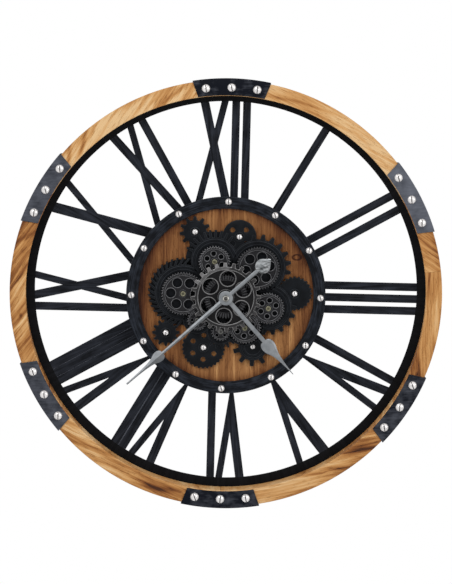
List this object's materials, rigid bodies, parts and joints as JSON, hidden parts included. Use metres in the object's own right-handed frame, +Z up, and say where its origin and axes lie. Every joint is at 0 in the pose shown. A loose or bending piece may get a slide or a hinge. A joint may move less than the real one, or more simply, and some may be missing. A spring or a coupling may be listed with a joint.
{
  "type": "gear wall clock",
  "caption": "Large round wall clock with a wooden rim, open steel Roman numerals and a wooden dial that carries meshing gears and two spade hands.",
  "frame": {"origin": "point on the wall plane where the hook meets the top of the keyhole in the hanger plate", "axes": "+Z up the wall, +Y into the wall (the dial faces -Y), +X to the right of someone facing the dial"},
  "size_m": [0.5996, 0.0787, 0.6038],
  "materials": {
    "rim_wood": "oiled golden wood with brown streaks",
    "dial_wood": "oiled reddish brown wood with upright grain",
    "black_steel": "matte black paint",
    "strap_steel": "brushed dark grey",
    "black_plastic": "black moulding with a soft sheen",
    "pewter": "antique pewter with worn bright edges",
    "silver": "satin silver",
    "brass": "pale dulled brass",
    "cell_wrap": "plain blue battery wrap"
  },
  "bodies": {
    "frame": {"rim_segment_1": "rim_wood", "rim_segment_2": "rim_wood", "rim_segment_3": "rim_wood", "rim_segment_4": "rim_wood", "rim_segment_5": "rim_wood", "rim_segment_6": "rim_wood", "rim_strap_1": "strap_steel", "rim_strap_2": "strap_steel", "rim_strap_3": "strap_steel", "rim_strap_4": "strap_steel", "rim_strap_5": "strap_steel", "rim_strap_6": "strap_steel", "back_ring": "black_steel", "numeral_01": "black_steel", "numeral_02": "black_steel", "numeral_03": "black_steel", "numeral_04": "black_steel", "numeral_05": "black_steel", "numeral_06": "black_steel", "numeral_07": "black_steel", "numeral_08": "black_steel", "numeral_09": "black_steel", "numeral_10": "black_steel", "numeral_11": "black_steel", "numeral_12": "black_steel", "bezel_ring": "black_steel", "dial_board": "dial_wood", "drum": "black_steel", "drum_back_ring": "black_steel", "drum_front_ring": "black_steel", "gear_bed": "black_plastic", "gear_pin_1": "brass", "gear_pin_2": "brass", "gear_pin_3": "brass", "gear_pin_4": "brass", "gear_pin_5": "brass", "gear_pin_7": "brass", "center_bush": "brass", "movement_case": "black_plastic", "movement_cell": "cell_wrap", "drive_case": "black_plastic", "drive_cell": "cell_wrap", "hanger_plate": "strap_steel"},
    "train": {"sun_gear": "pewter", "center_wheel": "pewter"},
    "gear_1": {"train_gear_1": "pewter"},
    "gear_2": {"train_gear_2": "pewter"},
    "gear_3": {"train_gear_3": "pewter"},
    "gear_4": {"train_gear_4": "pewter"},
    "gear_5": {"train_gear_5": "pewter"},
    "gear_6": {"train_gear_6": "pewter", "drive_shaft": "brass"},
    "gear_7": {"train_gear_7": "pewter"},
    "hour": {"hour_hand": "silver", "hour_tube": "brass"},
    "minute": {"minute_hand": "silver", "minute_arbor": "silver", "hand_nut": "brass"},
    "knob": {"setting_knob": "black_plastic"},
    "switch": {"drive_switch": "black_plastic"}
  },
  "joints": [
    {"name": "train_spin", "type": "hinge", "parent": "frame", "child": "train", "pos_m": [0, -0.0575, -0.097], "axis": [0, 1, 0], "continuous": true},
    {"name": "gear_1_spin", "type": "hinge", "parent": "frame", "child": "gear_1", "pos_m": [-0.05923, -0.0575, -0.09286], "axis": [0, 1, 0], "continuous": true},
    {"name": "gear_2_spin", "type": "hinge", "parent": "frame", "child": "gear_2", "pos_m": [-0.01558, -0.0575, -0.04818], "axis": [0, 1, 0], "continuous": true},
    {"name": "gear_3_spin", "type": "hinge", "parent": "frame", "child": "gear_3", "pos_m": [0.0444, -0.0575, -0.05758], "axis": [0, 1, 0], "continuous": true},
    {"name": "gear_4_spin", "type": "hinge", "parent": "frame", "child": "gear_4", "pos_m": [0.05875, -0.0575, -0.11365], "axis": [0, 1, 0], "continuous": true},
    {"name": "gear_5_spin", "type": "hinge", "parent": "frame", "child": "gear_5", "pos_m": [0.02624, -0.0575, -0.14102], "axis": [0, 1, 0], "continuous": true},
    {"name": "gear_6_spin", "type": "hinge", "parent": "frame", "child": "gear_6", "pos_m": [-0.00715, -0.0575, -0.14589], "axis": [0, 1, 0], "continuous": true},
    {"name": "gear_7_spin", "type": "hinge", "parent": "frame", "child": "gear_7", "pos_m": [-0.03947, -0.0575, -0.13049], "axis": [0, 1, 0], "continuous": true},
    {"name": "minute_spin", "type": "hinge", "parent": "frame", "child": "minute", "pos_m": [0, -0.0737, -0.097], "axis": [0, 1, 0], "continuous": true},
    {"name": "hour_spin", "type": "hinge", "parent": "frame", "child": "hour", "pos_m": [0, -0.0703, -0.097], "axis": [0, 1, 0], "continuous": true},
    {"name": "knob_spin", "type": "hinge", "parent": "frame", "child": "knob", "pos_m": [0.014, -0.0187, -0.087], "axis": [0, 1, 0], "continuous": true},
    {"name": "switch_slide", "type": "slide", "parent": "frame", "child": "switch", "axis": [1, 0, 0], "range_m": [0, 0.005]}
  ],
  "couplings": [
    {"joint": "gear_1_spin", "follows": "train_spin", "ratio": -1.0213},
    {"joint": "gear_2_spin", "follows": "train_spin", "ratio": -1.4118},
    {"joint": "gear_3_spin", "follows": "train_spin", "ratio": -1.0213},
    {"joint": "gear_4_spin", "follows": "train_spin", "ratio": 1.4118},
    {"joint": "gear_5_spin", "follows": "train_spin", "ratio": -1.4118},
    {"joint": "gear_6_spin", "follows": "train_spin", "ratio": 2.4},
    {"joint": "gear_7_spin", "follows": "train_spin", "ratio": 2.2857},
    {"joint": "hour_spin", "follows": "minute_spin", "ratio": 0.083333},
    {"joint": "knob_spin", "follows": "minute_spin", "ratio": 1}
  ]
}
